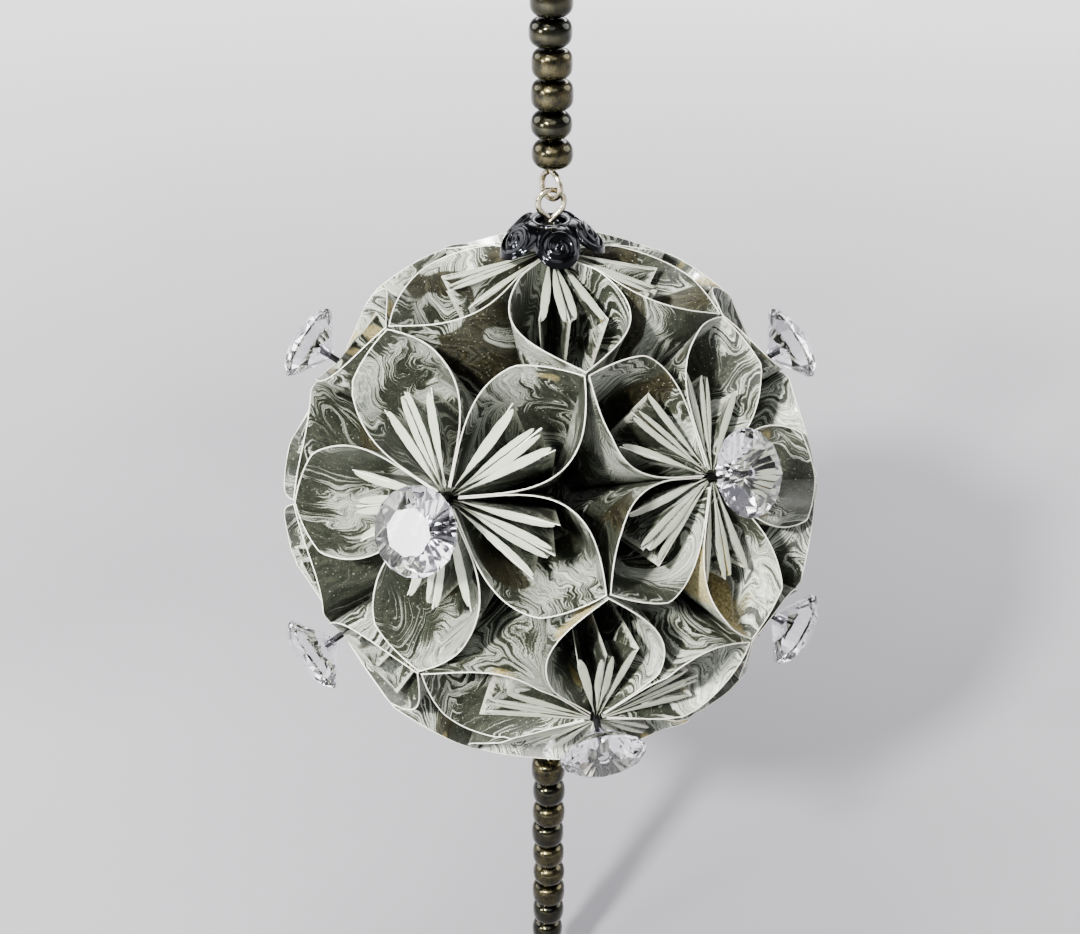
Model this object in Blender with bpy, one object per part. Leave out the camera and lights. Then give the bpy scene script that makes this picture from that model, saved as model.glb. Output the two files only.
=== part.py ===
"""A kusudama paper ball: sixty folded square sheets, glued by fives into twelve flowers.

The flowers sit on the twelve corners of an icosahedron, and their petal tips meet by threes. Ten
flowers hold a cut stone on a pin. The top and bottom flowers hold eye pins, linked to two strands
of beads on wire. The whole hangs from the eye at the upper strand's end, whose centre is the origin.
+Z runs up the strands, and -Y is the front.
"""

import math
import random

import bmesh
import bpy
from mathutils import Matrix, Vector

MM = 0.001

# The paper. Each petal is one square sheet, and its seam runs from the centre to a side's middle.
SHEET = 65.0 * MM
PLY = 0.15 * MM
CORNER_RISE = 2.1 * MM
CORE_RADIUS = 9.0 * MM
POINT_RADIUS = 3.0 * MM
FLOWER_GAP = 0.3 * MM
GLUED_ANGLE = math.radians(10.5)
LEAVING_REACH = math.radians(14.0)
ARRIVING_REACH = math.radians(17.0)
ARRIVING_ANGLE = math.radians(57.5)
WALL_STEPS = 5

# The folded flaps inside each petal, and their tips, which are turned over at the top edge.
FLAP_ANGLE = math.radians(18.0)
FLAP_DROOP = 1.5 * MM
TIP_SHARE = 0.36
TIP_DROP = 0.5 * MM
TIP_WIDEST = 0.62
TIP_NARROW = 0.3

# The hand-glued flowers don't all sit at the same depth, and the back ones are turned about the strand.
FRONT_PUSHED_IN = 3.1 * MM
TOP_PULLED_OUT = 1.2 * MM
TURN = math.radians(10.7)
BACK_TURN = math.radians(16.5)

# The pins and stones.
PIN_DIAMETER = 0.9 * MM
PIN_CLEARANCE = 0.15 * MM
PIN_ABOVE_FLOOR = 3.0 * MM
PIN_POINT = 2.0 * MM
STONE_DIAMETER = 10.4 * MM
STONE_TABLE = 5.6 * MM
CROWN_HEIGHT = 1.5 * MM
GIRDLE_HEIGHT = 0.3 * MM
PAVILION_HEIGHT = 3.2 * MM
STONE_BORE_DEPTH = 2.4 * MM
STONE_STAND = 1.4 * MM
FRONT_STONE_STAND = 2.7 * MM
LEFT_STONE_DROOP = 3.6 * MM

# The bead cap.
CAP_PETAL_CENTRE = 3.85 * MM
CAP_PETAL_SHARE = 0.71
CAP_RING_RADIUS = 2.4 * MM
CAP_RING_HEIGHT = 0.5 * MM
CAP_HEIGHT = 3.3 * MM
CAP_WALL = 0.45 * MM
CAP_BULGE = 0.85 * MM

# The wires, loops and beads.
WIRE = 0.75 * MM
LOOP_RADIUS = 1.6 * MM
WIRE_GAP = 0.3 * MM
LOOP_BEND = 1.16
TOP_EYE_BEND = 1.45
NECK_LENGTH = 0.1 * MM
EYE_ABOVE_CAP = 0.1 * MM
BOTTOM_STEM = 6.2 * MM
EYE_PIN_ABOVE_FLOOR = 7.0 * MM
BALL_EYE_TURN = math.radians(16.0)
STRAND_EYE_TURN = math.radians(-49.0)
BEAD_DIAMETER = 5.0 * MM
BEAD_BORE = 1.5 * MM
UPPER_BEAD_HEIGHT = 3.35 * MM
LOWER_BEAD_HEIGHT = 3.8 * MM
BEAD_GAP = 0.3 * MM
UPPER_BEAD_COUNT = 7
LOWER_BEAD_COUNT = 9
BEAD_VARIATION = 0.07
BEAD_SIDES = 10

SEAM = SHEET / 2
BALL_RADIUS = SEAM + CORNER_RISE
FLAP_LENGTH = SEAM * math.tan(math.radians(22.5))
TIP_WIDTH = FLAP_LENGTH * TIP_WIDEST * math.sin(FLAP_ANGLE) * TIP_SHARE
WALL = 2 * PLY
SIDE_FLAP = 2 * PLY
MIDDLE_FLAP = 4 * PLY
PETALS = 5
STEP = math.tau / PETALS
TIP_ANGLE = math.atan(3 - math.sqrt(5))
RING_ANGLE = math.atan(2)
PIN_BORE = PIN_DIAMETER / 2 + PIN_CLEARANCE
HUB_FLOOR = CORE_RADIUS * math.cos(GLUED_ANGLE)
CAP_PETAL_RADIUS = CAP_PETAL_CENTRE * CAP_PETAL_SHARE
CAP_BASE = SEAM + TOP_PULLED_OUT + WIRE_GAP
LOOP_NECK = LOOP_RADIUS * LOOP_BEND + NECK_LENGTH
LOOP_REACH = LOOP_RADIUS + WIRE / 2
TOP_LOOP_HEIGHT = CAP_BASE + CAP_HEIGHT + CAP_RING_HEIGHT + EYE_ABOVE_CAP + LOOP_REACH
BOTTOM_LOOP_HEIGHT = SEAM + BOTTOM_STEM + LOOP_REACH


def clear_scene():
    for obj in list(bpy.data.objects):
        bpy.data.objects.remove(obj)


def material(name, colour, roughness, metallic=0.0, transmission=0.0):
    made = bpy.data.materials.new(name)
    made.use_nodes = True
    shader = made.node_tree.nodes["Principled BSDF"]
    shader.inputs["Base Color"].default_value = (*colour, 1.0)
    shader.inputs["Roughness"].default_value = roughness
    shader.inputs["Metallic"].default_value = metallic
    shader.inputs["Transmission Weight"].default_value = transmission
    made.diffuse_color = (*colour, 1.0)
    return made


def finish_object(name, mesh, finish, matrix=None, smooth_angle=None):
    mesh.materials.append(finish)
    obj = bpy.data.objects.new(name, mesh)
    bpy.context.scene.collection.objects.link(obj)
    if matrix is not None:
        obj.matrix_world = matrix
    if smooth_angle is not None:
        mesh.shade_smooth()
        mesh.set_sharp_from_angle(angle=smooth_angle)
    return obj


def polar(distance, angle, height):
    return Vector((distance * math.cos(angle), distance * math.sin(angle), height))


def direction(point):
    """The direction from the ball's centre of a point given as two angles from the flower's axis."""
    away = point.length
    if away == 0:
        return Vector((0, 0, 1))
    flat = point / away * math.sin(away)
    return Vector((flat.x, flat.y, math.cos(away)))


def wall_curve():
    """The outer face of a petal's left wall, from where it leaves the glued seam to the petal's tip."""
    leave = Vector((math.cos(STEP / 2), math.sin(STEP / 2)))
    fork = leave * GLUED_ANGLE
    inward = FLOWER_GAP / 2 / math.sin(ARRIVING_ANGLE) / BALL_RADIUS
    tip = Vector((TIP_ANGLE - inward, 0))
    arrive = Vector((math.cos(ARRIVING_ANGLE), -math.sin(ARRIVING_ANGLE)))
    first = fork + leave * LEAVING_REACH
    last = tip - arrive * ARRIVING_REACH
    points = []
    for i in range(WALL_STEPS + 1):
        t = i / WALL_STEPS
        s = 1 - t
        points.append(s**3 * fork + 3 * s * s * t * first + 3 * s * t * t * last + t**3 * tip)
    return points


def rim_radius(paper_angle, seat):
    """The sheet's straight edge as far as the ball's radius, where its corner is cut round."""
    return min(seat / math.cos(paper_angle), BALL_RADIUS)


def wall_posts(seat):
    """The left wall's outer and inner lines, each a (bottom, top) pair, from the seam to the tip.

    The outer lines run down to the flower's point, and the inner ones end at the floor inside it.
    """
    curve = wall_curve()
    outer = []
    inner = []
    paper_angle = GLUED_ANGLE
    for i, point in enumerate(curve):
        before = curve[max(i - 1, 0)]
        after = curve[min(i + 1, WALL_STEPS)]
        if i:
            paper_angle += (point - before).length
        along = direction(after) - direction(before)
        ray = direction(point)
        inwards = ray.cross(along).normalized() * -WALL
        if i == 0:
            inwards = polar(WALL, STEP / 2 - math.pi / 2, 0)
        if i == WALL_STEPS:
            towards_seam = Vector((-math.cos(point.x), 0, math.sin(point.x)))
            inwards = towards_seam * (WALL / math.sin(ARRIVING_ANGLE))
        radius = rim_radius(paper_angle, seat)
        outer.append((ray * POINT_RADIUS, ray * radius))
        inner.append((ray * CORE_RADIUS + inwards, ray * radius + inwards))
    return outer, inner


def meeting(angle_a, half_a, angle_b, half_b):
    """Where the facing sides of two spokes meet, each spoke given by its angle and half thickness."""
    between = angle_b - angle_a
    along = (half_b + half_a * math.cos(between)) / math.sin(between)
    return polar(along, angle_a, 0) + polar(half_a, angle_a + math.pi / 2, 0)


def spoke_tips(angle, half, seat):
    """The two corners of a flap's free edge, which runs from its drooping top down towards the centre."""
    pairs = []
    top = min(seat, SEAM) - FLAP_DROOP
    for side in (-1, 1):
        aside = polar(half * side, angle + math.pi / 2, 0)
        low = polar(FLAP_LENGTH * HUB_FLOOR / top, angle, HUB_FLOOR) + aside
        high = polar(FLAP_LENGTH, angle, top) + aside
        pairs.append((low, high))
    return pairs


class FlowerMesh:
    """Builds one flower of five petals as a single closed body, from upright lines and the faces between.

    Below the floor the sheets' corners are pressed together into a solid point.
    """

    def __init__(self, seat):
        self.bm = bmesh.new()
        self.seat = seat
        self.hub = []
        self.fork = []
        self.tip = self.bm.verts.new((0, 0, POINT_RADIUS))
        outer, self.inner = wall_posts(seat)
        self.outer = outer
        for i in range(2 * PETALS):
            angle = (i - 1) * STEP / 2
            self.hub.append(self.post(polar(PIN_BORE, angle, HUB_FLOOR), polar(PIN_BORE, angle, seat)))
        for i in range(PETALS):
            turn = Matrix.Rotation((i - 1) * STEP, 3, "Z")
            self.fork.append(self.post(turn @ outer[0][0], turn @ outer[0][1]))

    def post(self, low, high):
        return self.bm.verts.new(low), self.bm.verts.new(high)

    def side(self, a, b):
        self.bm.faces.new((a[0], b[0], b[1], a[1]))

    def top(self, posts):
        self.bm.faces.new([post[1] for post in posts])

    def bottom(self, posts):
        self.bm.faces.new([post[0] for post in posts])

    def turned_over_tip(self, root, deep, free, facing):
        """A flap's side with the sheet's corner folded down over it, from the root out to the free edge."""
        low, high = root
        outwards = polar(1, facing, 0)
        run = free[1].co - high.co
        near = high.co + run * TIP_NARROW + outwards * TIP_WIDTH * 0.4
        wide = high.co + run * TIP_WIDEST + outwards * TIP_WIDTH
        near = self.bm.verts.new(near - Vector((0, 0, TIP_DROP * 0.6)))
        wide = self.bm.verts.new(wide - Vector((0, 0, TIP_DROP)))
        self.bm.faces.new((high, near, wide, free[1]))
        self.bm.faces.new((high, deep, near))
        self.bm.faces.new((deep, free[1], wide, near))
        self.bm.faces.new((deep, low, free[0], free[1]))

    def petal(self, number):
        turn = Matrix.Rotation(number * STEP, 3, "Z")
        mirror = Matrix.Diagonal((1, -1, 1))
        flip = turn @ mirror

        def placed(pair, by=turn):
            return self.post(by @ pair[0], by @ pair[1])

        left_outer = [self.fork[(number + 1) % PETALS]]
        right_outer = [self.fork[number]]
        left_outer += [placed(pair) for pair in self.outer[1:-1]]
        right_outer += [placed(pair, flip) for pair in self.outer[1:-1]]
        tip = placed(self.outer[-1])
        left_inner = [placed(pair) for pair in self.inner[:-1]]
        right_inner = [placed(pair, flip) for pair in self.inner[:-1]]
        inner_tip = placed(self.inner[-1])
        for outer, inner in ((left_outer, left_inner), (right_outer, right_inner)):
            outer.append(tip)
            inner.append(inner_tip)
            for i in range(WALL_STEPS):
                self.side(outer[i], outer[i + 1])
                self.side(inner[i], inner[i + 1])
                self.top([outer[i], outer[i + 1], inner[i + 1], inner[i]])
                self.bm.faces.new((outer[i][0], outer[i + 1][0], self.tip))

        spokes = (
            (-STEP / 2, WALL),
            (-FLAP_ANGLE, SIDE_FLAP / 2),
            (0.0, MIDDLE_FLAP / 2),
            (FLAP_ANGLE, SIDE_FLAP / 2),
            (STEP / 2, WALL),
        )
        lift = Vector((0, 0, HUB_FLOOR)), Vector((0, 0, self.seat))
        roots = []
        for (angle_a, half_a), (angle_b, half_b) in zip(spokes, spokes[1:]):
            corner = meeting(angle_a, half_a, angle_b, half_b)
            roots.append(placed((corner + lift[0], corner + lift[1])))
        deeps = [None, None, None, None]
        for i in (1, 2):
            deep = roots[i][1].co - Vector((0, 0, FLAP_LENGTH))
            deeps[i] = self.bm.verts.new(deep)
        free = [[placed(pair) for pair in spoke_tips(angle, half, self.seat)] for angle, half in spokes[1:4]]
        for flap in range(3):
            self.top([roots[flap], free[flap][0], free[flap][1], roots[flap + 1]])
            self.side(free[flap][0], free[flap][1])
        self.side(roots[0], free[0][0])
        self.side(roots[3], free[2][1])
        facing = number * STEP + math.pi / 2
        self.turned_over_tip(roots[1], deeps[1], free[0][1], facing - FLAP_ANGLE)
        self.turned_over_tip(roots[1], deeps[1], free[1][0], facing + math.pi)
        self.turned_over_tip(roots[2], deeps[2], free[1][1], facing)
        self.turned_over_tip(roots[2], deeps[2], free[2][0], facing + FLAP_ANGLE + math.pi)
        self.side(roots[0], right_inner[0])
        self.side(roots[3], left_inner[0])

        before, middle, after = (self.hub[(2 * number + i) % (2 * PETALS)] for i in range(3))
        self.top([before, roots[0], roots[1], middle])
        self.top([middle, roots[1], roots[2]])
        self.top([middle, roots[2], roots[3], after])
        flaps = [free[0][0], free[0][1], roots[1], free[1][0], free[1][1], roots[2], free[2][0], free[2][1]]
        walls = [*left_inner, *reversed(right_inner[:-1])]
        self.bottom([roots[0], *flaps, roots[3], *walls])
        self.side(before, middle)
        self.side(middle, after)
        return roots[0], right_inner[0], roots[3], left_inner[0]

    def mesh(self, name):
        ends = [self.petal(number) for number in range(PETALS)]
        for number, (_, _, last_root, last_wall) in enumerate(ends):
            after = (number + 1) % PETALS
            next_root, next_wall = ends[after][:2]
            self.top([last_root, last_wall, self.fork[after], next_wall, next_root])
            self.top([self.hub[(2 * number + 2) % (2 * PETALS)], last_root, next_root])
        self.bottom(self.hub)
        bmesh.ops.recalc_face_normals(self.bm, faces=self.bm.faces)
        made = bpy.data.meshes.new(name)
        self.bm.to_mesh(made)
        self.bm.free()
        return made


def facing_matrix(outward, petal_towards):
    """The frame of a flower: its axis outward, and its first petal towards the given direction."""
    z = outward.normalized()
    x = (petal_towards - z * petal_towards.dot(z)).normalized()
    y = z.cross(x)
    return Matrix((x, y, z)).transposed().to_4x4()


def ring_direction(angle_from_pole, azimuth):
    """A direction by its angle from +Z and its turn about it, where azimuth 0 is the front."""
    across = math.sin(angle_from_pole)
    return Vector((across * math.sin(azimuth), -across * math.cos(azimuth), math.cos(angle_from_pole)))


def flower_places():
    """The name, frame and seat of each flower. Upper 1 and 2 are front left and right, lower 1 is between."""
    up = Vector((0, 0, 1))
    places = [("top", facing_matrix(up, ring_direction(math.pi / 2, TURN)), SEAM + TOP_PULLED_OUT)]
    for i in range(PETALS):
        outward = ring_direction(RING_ANGLE, TURN + (i - 0.5) * STEP)
        seat = SEAM - FRONT_PUSHED_IN if i < 2 else SEAM
        places.append((f"upper_{i + 1}", facing_matrix(outward, -up), seat))
    for i in range(PETALS):
        outward = ring_direction(math.pi - RING_ANGLE, TURN + i * STEP)
        places.append((f"lower_{i + 1}", facing_matrix(outward, up), SEAM))
    bottom_petal = ring_direction(math.pi / 2, TURN + 0.5 * STEP)
    places.append(("bottom", facing_matrix(-up, bottom_petal), SEAM))
    return places


def hand_turn(point):
    """How far the glued layout has turned about the strand here: not at all in front, and most at the back."""
    azimuth = math.atan2(point.x, -point.y)
    return Matrix.Rotation(-BACK_TURN * (1 - math.cos(azimuth - TURN)) / 2, 4, "Z")


def laid_frame(frame):
    """Where a flower's frame ends up in the hand-glued layout."""
    return hand_turn(frame.col[2]) @ frame


def make_flowers(paper):
    for name, frame, seat in flower_places():
        made = FlowerMesh(seat).mesh("flower_" + name)
        laid = laid_frame(frame)
        back = laid.inverted()
        for vertex in made.vertices:
            point = frame @ vertex.co
            vertex.co = back @ hand_turn(point) @ point
        finish_object("flower_" + name, made, paper, laid)


def ring_verts(bm, radius, height, count, turn=0.0):
    return [bm.verts.new(polar(radius, math.tau * i / count + turn, height)) for i in range(count)]


def stone_mesh():
    """A round brilliant: an eight-sided table, star, kite and girdle facets, a cone below and a bore."""
    bm = bmesh.new()
    girdle_radius = STONE_DIAMETER / 2
    eighth = math.tau / 8
    mid_radius = (girdle_radius + STONE_TABLE / 2) / 2 + 0.06 * STONE_DIAMETER
    table = ring_verts(bm, STONE_TABLE / 2, GIRDLE_HEIGHT + CROWN_HEIGHT, 8)
    star = ring_verts(bm, mid_radius, GIRDLE_HEIGHT + CROWN_HEIGHT / 2, 8, eighth / 2)
    girdle_top = ring_verts(bm, girdle_radius, GIRDLE_HEIGHT, 16)
    girdle = ring_verts(bm, girdle_radius, 0, 16)
    culet = ring_verts(bm, PIN_BORE, -PAVILION_HEIGHT, 8)
    bore = ring_verts(bm, PIN_BORE, STONE_BORE_DEPTH - PAVILION_HEIGHT, 8)
    bm.faces.new(table)
    bm.faces.new(bore)
    for i in range(8):
        j = (i + 1) % 8
        before = (i - 1) % 8
        bm.faces.new((table[i], star[i], table[j]))
        bm.faces.new((table[i], star[before], girdle_top[2 * i]))
        bm.faces.new((table[i], girdle_top[2 * i], star[i]))
        bm.faces.new((star[i], girdle_top[2 * i], girdle_top[2 * i + 1]))
        bm.faces.new((star[i], girdle_top[2 * i + 1], girdle_top[2 * j]))
        bm.faces.new((girdle[2 * i], girdle[2 * i + 1], culet[i]))
        bm.faces.new((girdle[2 * i + 1], girdle[2 * j], culet[j]))
        bm.faces.new((girdle[2 * i + 1], culet[j], culet[i]))
        bm.faces.new((culet[i], culet[j], bore[j], bore[i]))
    for i in range(16):
        j = (i + 1) % 16
        bm.faces.new((girdle[i], girdle[j], girdle_top[j], girdle_top[i]))
    bmesh.ops.recalc_face_normals(bm, faces=bm.faces)
    made = bpy.data.meshes.new("stone")
    bm.to_mesh(made)
    bm.free()
    return made


def tube(name, points, radii, finish, matrix=None):
    """A wire along a list of points, with its ends closed."""
    curve = bpy.data.curves.new(name, "CURVE")
    curve.dimensions = "3D"
    curve.bevel_depth = 1.0
    curve.bevel_resolution = 1
    curve.use_fill_caps = True
    spline = curve.splines.new("POLY")
    spline.points.add(len(points) - 1)
    for target, point, radius in zip(spline.points, points, radii):
        target.co = (*point, 1.0)
        target.radius = radius
    curve.materials.append(finish)
    obj = bpy.data.objects.new(name, curve)
    if matrix is not None:
        obj.matrix_world = matrix
    bpy.context.scene.collection.objects.link(obj)
    return obj


def make_pins(stone_finish, pin_finish):
    """A pin and a stone in each flower but the top and bottom ones."""
    stone = stone_mesh()
    stone.materials.append(stone_finish)
    for name, frame, seat in flower_places():
        if name in ("top", "bottom"):
            continue
        culet = seat + (STONE_STAND if seat == SEAM else FRONT_STONE_STAND)
        girdle = culet + PAVILION_HEIGHT
        head = culet + STONE_BORE_DEPTH - PIN_CLEARANCE
        droop = LEFT_STONE_DROOP if name == "upper_1" else 0.0
        point = HUB_FLOOR + PIN_ABOVE_FLOOR
        heights = [point, point + PIN_POINT, seat]
        if droop:
            heights += [seat + (culet - seat) * i / 6 for i in range(1, 6)]
            heights.append(culet)
        heights.append(head)
        points = []
        for height in heights:
            rise = min(max((height - seat) / (culet - seat), 0), 1)
            points.append(Vector((droop * rise * rise * (3 - 2 * rise), 0, height)))
        radii = [PIN_DIAMETER / 2] * len(points)
        radii[0] = PIN_DIAMETER / 8
        frame = laid_frame(frame)
        tube("pin_" + name, points, radii, pin_finish, frame)
        obj = bpy.data.objects.new("stone_" + name, stone)
        obj.matrix_world = frame @ Matrix.Translation((droop, 0, girdle))
        bpy.context.scene.collection.objects.link(obj)


def cap_edge(angle):
    """How far the cap's outline of five round petals reaches at this angle about its axis."""
    off = (angle + STEP / 2) % STEP - STEP / 2
    across = CAP_PETAL_CENTRE * math.sin(off)
    return CAP_PETAL_CENTRE * math.cos(off) + math.sqrt(CAP_PETAL_RADIUS**2 - across**2)


def cap_height(distance, angle):
    """The cap's upper surface: a sloping skirt with a round swelling on each petal."""
    off = (angle + STEP / 2) % STEP - STEP / 2
    edge = CAP_PETAL_CENTRE + CAP_PETAL_RADIUS
    run = min(max((distance - CAP_RING_RADIUS) / (edge - CAP_RING_RADIUS), 0), 1)
    here = polar(distance, off, 0)
    from_petal = min((here - Vector((CAP_PETAL_CENTRE, 0, 0))).length / CAP_PETAL_RADIUS, 1)
    swelling = CAP_BULGE * (1 - from_petal**2)
    return CAP_HEIGHT * (1 - run**1.4) + swelling


def make_cap(finish):
    """The bead cap over the top flower's centre, with a raised ring round its hole."""
    bm = bmesh.new()
    sides = 6 * PETALS
    shares = (0.0, 0.35, 0.7, 1.0)
    bore = WIRE / 2 + WIRE_GAP
    rings = []
    ring_out = CAP_RING_RADIUS - CAP_WALL
    rings.append([(bore, CAP_HEIGHT - CAP_WALL)] * sides)
    rings.append([(bore, CAP_HEIGHT)] * sides)
    rings.append([(ring_out, CAP_HEIGHT + CAP_RING_HEIGHT)] * sides)
    angles = [TURN - math.pi / 2 + math.tau * i / sides for i in range(sides)]
    for share in shares:
        row = []
        for i in range(sides):
            local = math.tau * i / sides
            reach = CAP_RING_RADIUS + (cap_edge(local) - CAP_RING_RADIUS) * share
            row.append((reach, cap_height(reach, local)))
        rings.append(row)
    for share in reversed(shares):
        row = []
        for i in range(sides):
            local = math.tau * i / sides
            edge = cap_edge(local) - CAP_WALL
            reach = CAP_RING_RADIUS - CAP_WALL / 2 + (edge - CAP_RING_RADIUS + CAP_WALL / 2) * share
            row.append((reach, cap_height(reach, local) - CAP_WALL))
        rings.append(row)
    rows = [[bm.verts.new(polar(r, a, CAP_BASE + z)) for (r, z), a in zip(ring, angles)] for ring in rings]
    for row, following in zip(rows, rows[1:] + rows[:1]):
        for i in range(sides):
            j = (i + 1) % sides
            bm.faces.new((row[i], row[j], following[j], following[i]))
    bmesh.ops.recalc_face_normals(bm, faces=bm.faces)
    made = bpy.data.meshes.new("bead_cap")
    bm.to_mesh(made)
    bm.free()
    finish_object("bead_cap", made, finish, smooth_angle=math.radians(40))


def loop_points(centre, turn, up=1, bend_share=LOOP_BEND):
    """An eye bent in wire, from its neck round and back to just beside the neck. up=1 puts the neck below."""
    start = math.radians(-60)
    finish = math.radians(234)
    steps = 12
    bend = Vector((0, 0, centre - up * LOOP_RADIUS * bend_share))
    neck = bend - Vector((0, 0, up * NECK_LENGTH))
    points = [neck, bend]
    for i in range(steps + 1):
        angle = start + (finish - start) * i / steps
        across = LOOP_RADIUS * math.cos(angle)
        height = centre + up * LOOP_RADIUS * math.sin(angle)
        points.append(Vector((across * math.cos(turn), across * math.sin(turn), height)))
    return points


def wire(name, points, finish):
    return tube(name, points, [WIRE / 2] * len(points), finish)


def bead_mesh(height):
    """A round-shouldered glass bead with a bore."""
    profile = (
        (BEAD_BORE / 2, 0.42),
        (BEAD_DIAMETER * 0.33, 0.5),
        (BEAD_DIAMETER * 0.485, 0.24),
        (BEAD_DIAMETER * 0.485, -0.24),
        (BEAD_DIAMETER * 0.33, -0.5),
        (BEAD_BORE / 2, -0.42),
    )
    bm = bmesh.new()
    rows = [ring_verts(bm, radius, share * height, BEAD_SIDES) for radius, share in profile]
    for row, following in zip(rows, rows[1:] + rows[:1]):
        for i in range(BEAD_SIDES):
            j = (i + 1) % BEAD_SIDES
            bm.faces.new((row[i], row[j], following[j], following[i]))
    bmesh.ops.recalc_face_normals(bm, faces=bm.faces)
    made = bpy.data.meshes.new("bead")
    bm.to_mesh(made)
    bm.free()
    return made


def make_beads(prefix, count, height, start, way, dice, finish):
    """Threads beads one after another from start, upwards or downwards, and returns where they end."""
    edge = start
    for i in range(count):
        tall = height * (1 + dice.uniform(-BEAD_VARIATION, BEAD_VARIATION))
        centre = edge + way * tall / 2
        mesh = bead_mesh(tall)
        finish_object(
            f"{prefix}_{i + 1}", mesh, finish, Matrix.Translation((0, 0, centre)), math.radians(50)
        )
        edge += way * (tall + BEAD_GAP)
    return edge - way * BEAD_GAP


def link_step():
    """From the centre of one eye to the centre of the eye that hooks through it."""
    return 2 * LOOP_RADIUS - WIRE - WIRE_GAP


def make_strands(wire_finish, bead_finish):
    """The eye pins and the two strands. Returns the height of the hanging eye's centre."""
    dice = random.Random(4)
    inner_end = Vector((0, 0, HUB_FLOOR + EYE_PIN_ABOVE_FLOOR))
    top_eye = loop_points(TOP_LOOP_HEIGHT, BALL_EYE_TURN, 1, TOP_EYE_BEND)
    bottom_eye = loop_points(-BOTTOM_LOOP_HEIGHT, BALL_EYE_TURN, -1)
    wire("eye_pin_top", [inner_end] + top_eye, wire_finish)
    wire("eye_pin_bottom", [-inner_end] + bottom_eye, wire_finish)

    linked_eye = TOP_LOOP_HEIGHT + link_step()
    first = linked_eye + LOOP_NECK + BEAD_GAP
    end = make_beads("upper_bead", UPPER_BEAD_COUNT, UPPER_BEAD_HEIGHT, first, 1, dice, bead_finish)
    hanging_eye = end + BEAD_GAP + LOOP_NECK
    below = list(reversed(loop_points(linked_eye, STRAND_EYE_TURN, -1)))
    wire("upper_wire", below + loop_points(hanging_eye, 0.0), wire_finish)

    linked_eye = -BOTTOM_LOOP_HEIGHT - link_step()
    first = linked_eye - LOOP_NECK - BEAD_GAP
    end = make_beads("lower_bead", LOWER_BEAD_COUNT, LOWER_BEAD_HEIGHT, first, -1, dice, bead_finish)
    last_eye = end - BEAD_GAP - LOOP_NECK
    above = list(reversed(loop_points(linked_eye, STRAND_EYE_TURN)))
    wire("lower_wire", above + loop_points(last_eye, 0.0, -1), wire_finish)
    return hanging_eye


def make_pivot(name, height, objects):
    """An empty where two eyes hook together, which carries everything that swings below it."""
    pivot = bpy.data.objects.new(name, None)
    pivot.matrix_world = Matrix.Translation((0, 0, height))
    bpy.context.scene.collection.objects.link(pivot)
    for obj in objects:
        obj.parent = pivot
        obj.matrix_parent_inverse = Matrix.Translation((0, 0, -height))
    return pivot


def hang_from_origin(hanging_eye):
    """Moves everything down, so that the hanging eye's centre is the origin, and adds the two pivots."""
    objects = list(bpy.data.objects)
    for obj in objects:
        obj.matrix_world = Matrix.Translation((0, 0, -hanging_eye)) @ obj.matrix_world
    upper = [obj for obj in objects if obj.name.startswith("upper_")]
    lower = [obj for obj in objects if obj.name.startswith("lower_")]
    ball = [obj for obj in objects if obj not in upper and obj not in lower]
    ball_pivot = TOP_LOOP_HEIGHT + link_step() - LOOP_RADIUS - hanging_eye
    strand_pivot = -BOTTOM_LOOP_HEIGHT - LOOP_RADIUS - hanging_eye
    lower_pivot = make_pivot("pivot_lower_strand", strand_pivot, lower)
    make_pivot("pivot_ball", ball_pivot, ball + [lower_pivot])


def main():
    clear_scene()
    paper = material("marbled paper", (0.42, 0.43, 0.37), 0.55)
    acrylic = material("clear acrylic", (0.93, 0.92, 0.97), 0.03, transmission=1.0)
    black = material("black steel", (0.02, 0.02, 0.022), 0.35, metallic=0.8)
    blackened = material("blackened metal", (0.06, 0.06, 0.065), 0.3, metallic=1.0)
    pale_gold = material("pale gold wire", (0.75, 0.68, 0.5), 0.25, metallic=1.0)
    bronze = material("bronze glass", (0.22, 0.18, 0.1), 0.22, metallic=0.9)
    make_flowers(paper)
    make_pins(acrylic, black)
    make_cap(blackened)
    hanging_eye = make_strands(pale_gold, bronze)
    hang_from_origin(hanging_eye)


main()
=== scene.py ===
"""The kusudama ball as photographed: marbled paper flowers, faceted stones, black cap and bronze beads."""

import math
import random

import bpy
from mathutils import Matrix, Vector


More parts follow.
